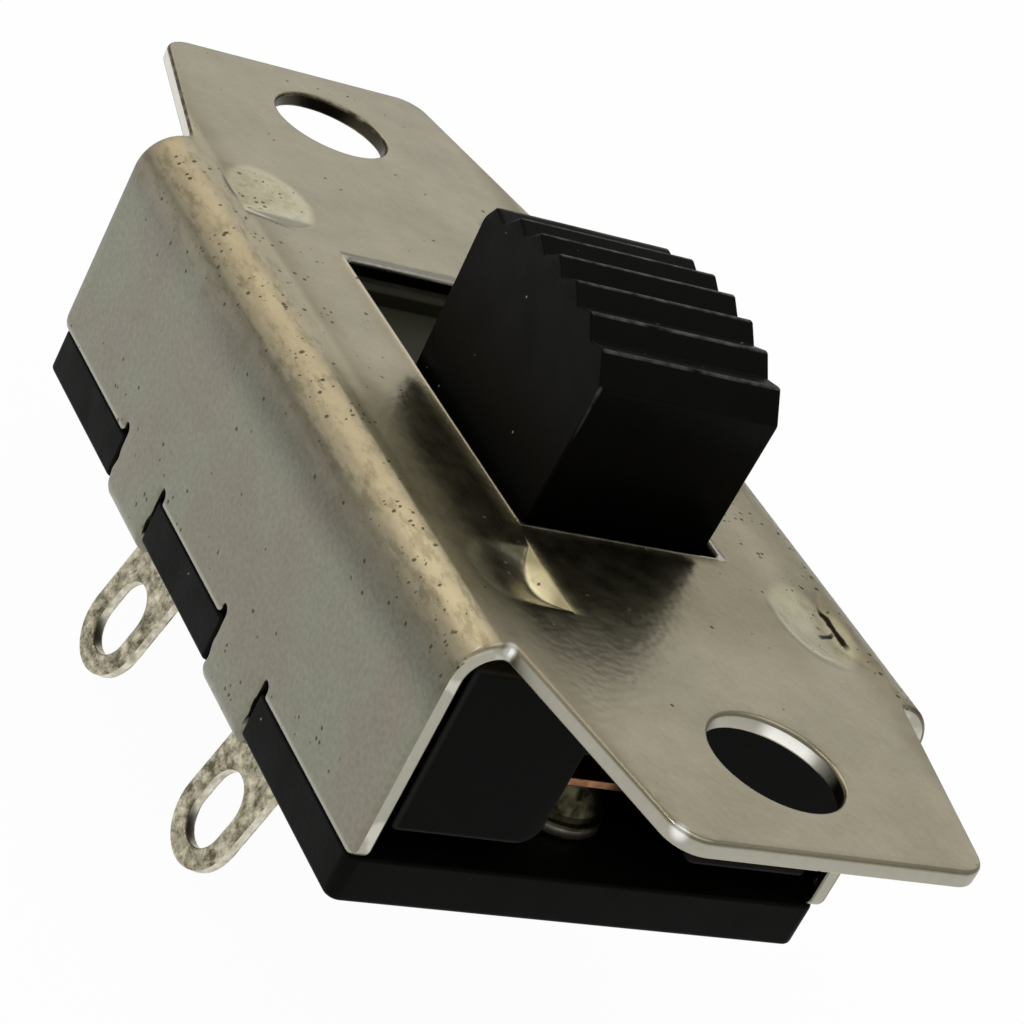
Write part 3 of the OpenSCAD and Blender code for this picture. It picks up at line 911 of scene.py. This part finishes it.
shear_light = (0.27, 0.25, 0.2)
shear_dark = (0.22, 0.2, 0.155)
wall_end_pale = (0.4, 0.39, 0.32)
wall_end_bright = (0.72, 0.7, 0.62)
near_ear_cut = (0.4, 0.385, 0.32)
far_ear_cut_highlight = (0.75, 0.73, 0.66)
slot_shade = (0.012, 0.011, 0.007)
# Painted highlights where the near ear's corner and the near end of the left fold catch the light.
corner_highlights = [
    # Place, where the highlight starts and where it is full, and its colour.
    ((17.15, -4.22, -0.1), 0.3, 0.06, highlight_white),
    ((11.2, -5.66, -0.15), 0.22, 0.06, highlight_white),
]
# Painted shade in the far hole and on the near side of the near hole, and a painted highlight on the near
# hole's far wall; same columns as above.
hole_light_and_shade = [
    ((-14.25, 0, -0.2), 1.9, 1.8, (0.05, 0.043, 0.028)),
    ((13.05, 1.2, -0.2), 0.9, 0.4, (0.97, 0.96, 0.9)),
    ((15.15, 1.45, -0.25), 1.0, 0.6, (0.04, 0.036, 0.025)),
]

fold_run = fold_r * math.pi / 2
wall_end = plate_half + fold_run + wall_run
curl_start = wall_end + tab_drop
curl_run = curl_r * math.pi / 2
tab_end = curl_start + curl_run + foot_len
sheet_face = bend(
    [(plate_half,), (fold_r, math.pi / 2), (wall_run + tab_drop,), (curl_r, math.pi / 2), (foot_len + 1,)],
    (0, 0),
)


def dimple_rows(dimple, a):
    """The dimple's curved edge, crease and straight edge, at a share a of its half length."""
    side = math.copysign(1, dimple["crease"])
    return -side * (1 - a ** 6), side - (side - dimple["crease"]) * (1 - a * a), side


def pressed(u, v):
    """How deep the dimples are pressed at a place on the sheet."""
    for dimple in dimples:
        a = (u - dimple["place"][0]) / dimple["half"][0]
        b = (v - dimple["place"][1]) / dimple["half"][1]
        if abs(a) < 1 and abs(b) < 1:
            curved, crease, straight = dimple_rows(dimple, a)
            share = min((b - curved) / (crease - curved), (straight - b) / (straight - crease))
            deep = dimple["deep"]
            run = max((a - deep) / (1 - deep), (deep - a) / (1 + deep))
            return dimple["depth"] * (1 - run ** dimple["bow"]) * max(0.0, share)
    return 0.0


def past_slot(u, v):
    return max(abs(u) - slot_corner[0], abs(v) - slot_corner[1])


def place_sheet(u, v, down):
    spot, out = sheet_face(abs(v))
    y, z = spot - down * out
    burr = 0.0
    if down == 0:
        burr = burr_h * max(0.0, 1 - ((past_slot(u, v) - sheet_roll) / burr_w) ** 2)
    return u, math.copysign(y, v) if v else y, z - pressed(u, v) + burr


def spaced(half, margin, step):
    return np.arange(margin - half, half - margin + 0.05, step)


half_outline = [(*ear_tip, ear_corner_r), (channel_half, ear_root_y, ear_root_r)]
half_outline.append((channel_half, wall_end, wall_corner_r))
for x in tab_xs:
    reliefs = []
    for side in (1, -1):
        middle = (x + side * (tab_half + relief_r), wall_end - relief_depth + relief_r)
        reliefs.append([(*p, 0) for p in arc(middle, relief_r, 0, -180, 10)])
    half_outline += [(x + tab_half + 2 * relief_r, wall_end, relief_corner_r)] + reliefs[0]
    half_outline += [(x + tab_half, wall_end, 0), (x + tab_foot_half, tab_end, tab_foot_r)]
    half_outline += [(x - tab_foot_half, tab_end, tab_foot_r), (x - tab_half, wall_end, 0)]
    half_outline += reliefs[1] + [(x - tab_half - 2 * relief_r, wall_end, relief_corner_r)]
half_outline += [(-channel_half, wall_end, wall_corner_r), (-channel_half, ear_root_y, ear_root_r)]
half_outline.append((-ear_tip[0], ear_tip[1], ear_corner_r))
sheet_outline = half_outline + [(x, -y, r) for x, y, r in half_outline[::-1]]
sheet_edge = np.array(fine(rounded(sheet_outline, 10), edge_spacing))
along = np.cumsum(np.linalg.norm(np.roll(sheet_edge, -1, axis=0) - sheet_edge, axis=1))
torn = np.clip((np.abs(sheet_edge[:, 1]) - wall_end - 0.1) / 0.3, 0, 1)
waves = sum(height * np.sin(along * turns + phase) for height, turns, phase in tear_waves)
outwards = np.column_stack((np.sign(sheet_edge[:, 0]), 0.6 * np.sign(sheet_edge[:, 1])))
sheet_edge = sheet_edge + (torn * waves)[:, None] * outwards
slot_corners = [(sx * slot_corner[0], sy * slot_corner[1], slot_corner_r) for sx, sy in clockwise]
slot_edge = fine(rounded(slot_corners, 5), 0.5)
screw_holes = [arc((side * screw_hole_x, 0), screw_hole_r, 360, 0, 72)[:-1] for side in (1, -1)]
spots = []
seams = []
for side in (1, -1):
    for v in np.linspace(plate_half, plate_half + fold_run, 13):
        spots += [(u, side * v) for u in spaced(channel_half, fold_margin, fold_step)]
    for x in tab_xs:
        for v in np.linspace(curl_start, curl_start + curl_run, 9):
            spots += [(x + k * tab_foot_half / 4, side * v) for k in range(-3, 4)]
for dimple in dimples:
    rows = []
    for a in np.linspace(-0.985, 0.985, 31):
        curved, crease, straight = dimple_rows(dimple, a)
        across = [curved + (crease - curved) * k / 12 for k in range(13)]
        across += [crease + (straight - crease) * k / 4 for k in range(1, 5)]
        rows.append([tuple(np.array(dimple["place"]) + np.array((a, b)) * dimple["half"]) for b in across])
    columns = [list(column) for column in zip(*rows)]
    seams += [columns[0], columns[12], columns[16]]
    spots += [p for column in columns[1:12] + columns[13:16] for p in column]
for out in (sheet_roll + burr_w / 3, sheet_roll + burr_w * 2 / 3, sheet_roll + burr_w):
    u, v = slot_corner[0] + out, slot_corner[1] + out
    seams.append(fine([(u, v), (-u, v), (-u, -v), (u, -v)], 0.25))
for u in spaced(ear_tip[0], grid_margin, grid_step):
    for v in spaced(wall_end, grid_margin, grid_step):
        taken = plate_half - clear < abs(v) < plate_half + fold_run + clear
        taken = taken or past_slot(u, v) < sheet_roll + burr_w + clear
        for dimple in dimples:
            off_u = abs(u - dimple["place"][0]) - dimple["half"][0]
            off_v = abs(v - dimple["place"][1]) - dimple["half"][1]
            taken = taken or max(off_u, off_v) < clear
        if not taken:
            spots.append((u, v))
steel_sheet = slab(
    "folded_sheet", [sheet_edge, slot_edge] + screw_holes, sheet, sheet_roll, burr_roll, place_sheet,
    spots, seams, cut=True,
)
turn_outwards(steel_sheet)

plated = Finish("dull_plating")
x, y, z = plated.x, plated.y, plated.z
reach = plated.size(y)


def pits(spot, scale, size, density):
    """Round spots of uneven size in the plating, as many as the density lets stand."""
    apart, chance, growth_chance = plated.cells(scale, spot)
    near = plated.minus(plated.times(growth_chance, size), apart)
    return plated.times(plated.ramp(near, -0.05, 0.12), reckon(plated.tree, "LESS_THAN", chance, density))


# The plating's own tones, yellowed plate and greyer walls, and a painted highlight in gold on the fold that
# faces the light.
fold = plated.zone((reach, 5.2, 6.0), (z, -2.0, -1.0))
lit_fold = plated.zone((y, -5.86, -5.98), (z, -1.0, -0.5))
wall = plated.zone((z, -0.8, -1.6))
plate_tone = plated.mixed(plated.ramp(plated.noise(0.26, 2), 0.35, 0.65), plate_light, plate_dark)
wall_tone = plated.mixed(plated.ramp(plated.noise(0.33, 2), 0.38, 0.62), wall_green, wall_pink)
plated.lay(plated.mixed(wall, plate_tone, wall_tone))
# Painted highlight on the fold that faces the warm lamp.
plated.coat(lit_fold, fold_highlight_gold, 0.8)

# The dimples are paler, with clouds and a painted highlight; painted shade lies along an edge of some,
# beside a painted highlight on the wall that faces the light.
dimple_shades = []
lit_walls = []
hollows = []
cloud = plated.ramp(plated.noise(2.6, 4, 0.65), 0.42, 0.68)
for dimple in dimples:
    aside = plated.vector("SUBTRACT", plated.spot, (*dimple["place"], 0))
    share = plated.vector("MULTIPLY", aside, (1 / dimple["half"][0], 1 / dimple["half"][1], 0))
    off = plated.vector("DISTANCE", share, (0, 0, 0))
    # Paler towards the middle, and brightened further as a painted highlight by the bright key.
    plated.coat(plated.ramp(off, 1.1, 0.85, 0, 0.85), tuple(dimple["bright"] * c for c in dimple_pale_and_lit))
    plated.coat(plated.times(plated.ramp(off, 1.0, 0.75, 0, 0.4), cloud), dimple_cloud)
    hollows.append(plated.ramp(off, 0.95, 0.7, 0, 0.4))
    # Painted shade along the edge on one side and, where deep is set, on the near end wall; a painted
    # highlight on the inner wall on that side.
    side = plated.vector("DOT_PRODUCT", share, (0.5, -0.87, 0))
    end = plated.vector("DOT_PRODUCT", share, (1, -0.25, 0))
    edge = plated.zone((off, 0.88, 0.97), (off, 1.14, 1.04), (side, 0.4, 0.7, 0, dimple["painted_side"]))
    end_wall = plated.zone((end, 0.5, 0.68), (off, 1.06, 0.98))
    dimple_shades.append(plated.most(edge, plated.times(end_wall, 3 * dimple["deep"])))
    lit_walls.append(plated.zone((off, 0.7, 0.8), (off, 0.95, 0.88), (side, 0.55, 0.8, 0, dimple["painted_side"])))

# A fine grain over all, with painted shade below the fold and a painted highlight on its lower half.
grain = plated.ramp(plated.noise(7.0, 1), 0.3, 0.7, -0.07, 0.07)
grain = plated.plus(plated.times(grain, plated.plus(plated.times(wall, 0.7), 0.3)), 1.0)
# Painted shade below the fold, stronger towards the near end, and a painted highlight on the fold's lower
# half.
painted_shade_under_fold = plated.zone((z, -0.58, -0.85), (z, -2.6, -1.2), (x, -7.0, 0.0, 0.12, 0.42))
painted_fold_highlight = plated.zone((z, -0.34, -0.5), (z, -0.74, -0.6))
grain = plated.plus(plated.minus(grain, painted_shade_under_fold), plated.times(painted_fold_highlight, 0.42))
plated.lay(plated.mixed(1.0, plated.tone, grain, "MULTIPLY"))

# On the plate: paler strips by the folds, painted shade and highlights in the dimples, a brighter painted
# highlight on the lit fold, painted shade and dark reflection from the knob, pale hems, and painted
# highlights on the slot's rims and two corners.
# Paler strips beside the folds, on the far half of the plate.
pale_strips = plated.zone((reach, 5.1, 5.4), (reach, 6.0, 5.8), (x, 2.0, 0.5), (z, -0.2, -0.1))
plated.coat(pale_strips, beside_fold_pale)
# Painted shade and painted highlights in the dimples.
for painted_side in dimple_shades:
    plated.coat(painted_side, dimple_painted_shade)
for lit_wall in lit_walls:
    plated.coat(lit_wall, dimple_lit)
# Painted highlight: the lit fold brightens towards the near end.
plated.coat(plated.times(lit_fold, plated.ramp(x, 4.0, 8.0)), fold_highlight_bright, 0.75)
# Painted shade and dark reflection of the knob over the plate beside and in front of it, darkest along the
# fold's seam.
knob_shade = plated.zone((x, -1.0, 2.0), (x, 10.8, 8.5), (z, -0.5, -0.1), (y, -5.95, -5.86), (y, 5.2, 3.0))
plated.coat(knob_shade, knob_shade_olive, 0.42)
plated.coat(plated.times(knob_shade, plated.zone((y, -5.5, -5.7), (x, 7.2, 5.5))), knob_shade_seam, 0.45)
tab_mid = (tab_xs[0] + tab_xs[1]) / 2
from_tab = plated.size(plated.minus(plated.size(plated.minus(x, tab_mid)), tab_xs[0] - tab_mid))
plated.coat(plated.zone((z, -6.10, -6.17), (from_tab, 1.4, 1.5)), hem_pale)
off_slot = plated.most(plated.minus(plated.size(x), slot_corner[0]), plated.minus(reach, slot_corner[1]))
# Painted highlight along the slot's rims.
plated.coat(plated.zone((off_slot, 0.18, 0.13), (z, -0.2, -0.1)), slot_rim_highlight)
# Painted highlights at two corners.
for place, start, full, colour in corner_highlights:
    plated.coat(plated.ramp(plated.away(place), start, full), colour)

# The tear in one dimple with its spur, painted shade along the rim of the far ear, and a spot of rust.
ragged = plated.ramp(plated.noise(1.5, 2), 0.3, 0.7, -0.03, 0.03)
along_tear = plated.size(plated.minus(x, 8.05))
across_tear = plated.size(plated.plus(plated.minus(y, 5.37), ragged))
tear = plated.zone((along_tear, 0.95, 0.6), (across_tear, 0.08, 0.03))
spur_x = plated.plus(plated.times(y, 0.545), x)
along_spur = plated.size(plated.minus(y, 5.02))
across_spur = plated.size(plated.plus(plated.minus(spur_x, 11.09), ragged))
spur = plated.zone((along_spur, 0.4, 0.2), (across_spur, 0.12, 0.05))
plated.coat(plated.most(tear, spur), tear_black)
# Painted shade along the rolled rim of the far ear.
far_rim = plated.zone((x, -11.2, -11.6), (z, -0.012, -0.03), (plated.noise(2.5, 2), 0.35, 0.55, 0.45, 0.9))
plated.coat(far_rim, far_rim_shade)
plated.coat(plated.ramp(plated.away((11.1, 6.3, -0.5)), 0.8, 0.3, 0, 0.7), rust_red)

# Streaks along the folds, and pits in patches where the plating is worn most.
drawn = plated.vector("MULTIPLY", plated.spot, (0.35, 1, 1))
streak = plated.times(plated.ramp(plated.noise(3.4, 4, 0.7, drawn), 0.47, 0.66), fold)
plated.coat(streak, fold_streak, 0.42)
swirl = node(plated.tree, "ShaderNodeTexNoise", {"Vector": plated.spot, "Scale": 6.0}).outputs["Color"]
stirred = plated.vector("ADD", plated.spot, plated.vector("MULTIPLY", swirl, (0.06, 0.06, 0.06)))
low = plated.zone((z, -4.6, -6.4))
by_slot = plated.zone((y, -3.1, -4.0), (x, -8.5, -6.5), (x, 2.0, -1.0, 0, 0.3), (z, -0.3, -0.2))
by_knob = plated.zone((x, 1.0, 3.0), (x, 8.5, 6.5), (y, 3.0, 3.6, 0, 0.8), (z, -0.6, -0.4))
prone = plated.plus(plated.times(fold, 0.8), plated.times(low, 0.7), by_slot)
prone = plated.plus(plated.most(prone, *hollows, by_knob), 0.04)
prone = plated.times(prone, plated.ramp(plated.noise(0.9, 1), 0.42, 0.62))
small = pits(stirred, 6.0, 0.42, prone)
large = pits(stirred, 3.2, 0.26, plated.times(prone, 0.35))
pitted = plated.most(small, large)
plated.coat(pitted, pit_black, 0.65)

# Its sheen: duller beside the folds and in the pits, over a fine relief.
beside_fold = plated.zone((reach, 4.3, 5.3), (reach, 6.0, 5.7))
rough = plated.ramp(plated.noise(1.5, 2), 0.3, 0.7, 0.27, 0.33)
for zone, dulled in ((fold, 0.1), (beside_fold, 0.2), (pitted, 0.3)):
    rough = plated.plus(rough, plated.times(zone, dulled))
plated.put("Roughness", rough)
plated.put("Metallic", 1.0)
relief = plated.plus(plated.noise(5.0, 0), plated.times(plated.noise(1.4, 1), 0.5))
plated.bump(plated.minus(relief, plated.times(pitted, 0.5)), 0.6, 0.01)

# Its cut edges: painted highlights on the far ear's edge, two corners and the near hole's far wall, and
# painted shade in the slot and the holes.
sheared = plain_metal("sheared_steel", shear_light, shear_dark, 0.4, 5.0)
x, y, z = sheared.x, sheared.y, sheared.z
wall_end_face = sheared.zone((x, 11.0, 11.15), (x, 11.35, 11.3))
sheared.coat(wall_end_face, wall_end_pale)
bright_spot = sheared.ramp(sheared.noise(1.3, 2), 0.52, 0.64, 0, 0.6)
sheared.coat(sheared.times(wall_end_face, bright_spot), wall_end_bright)
sheared.coat(sheared.ramp(x, 11.4, 11.6), near_ear_cut)
# Painted highlight on the far ear's cut edge.
sheared.coat(sheared.ramp(x, -11.4, -11.6), far_ear_cut_highlight)
for place, start, full, colour in corner_highlights + hole_light_and_shade:
    sheared.coat(sheared.ramp(sheared.away(place), start, full), colour)
sheared.coat(sheared.zone((sheared.size(x), 6.5, 6.2), (sheared.size(y), 3.5, 3.2)), slot_shade)
steel_sheet.data.materials.append(plated.material)
steel_sheet.data.materials.append(sheared.material)
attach(steel_sheet, "housing")
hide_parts("frame")
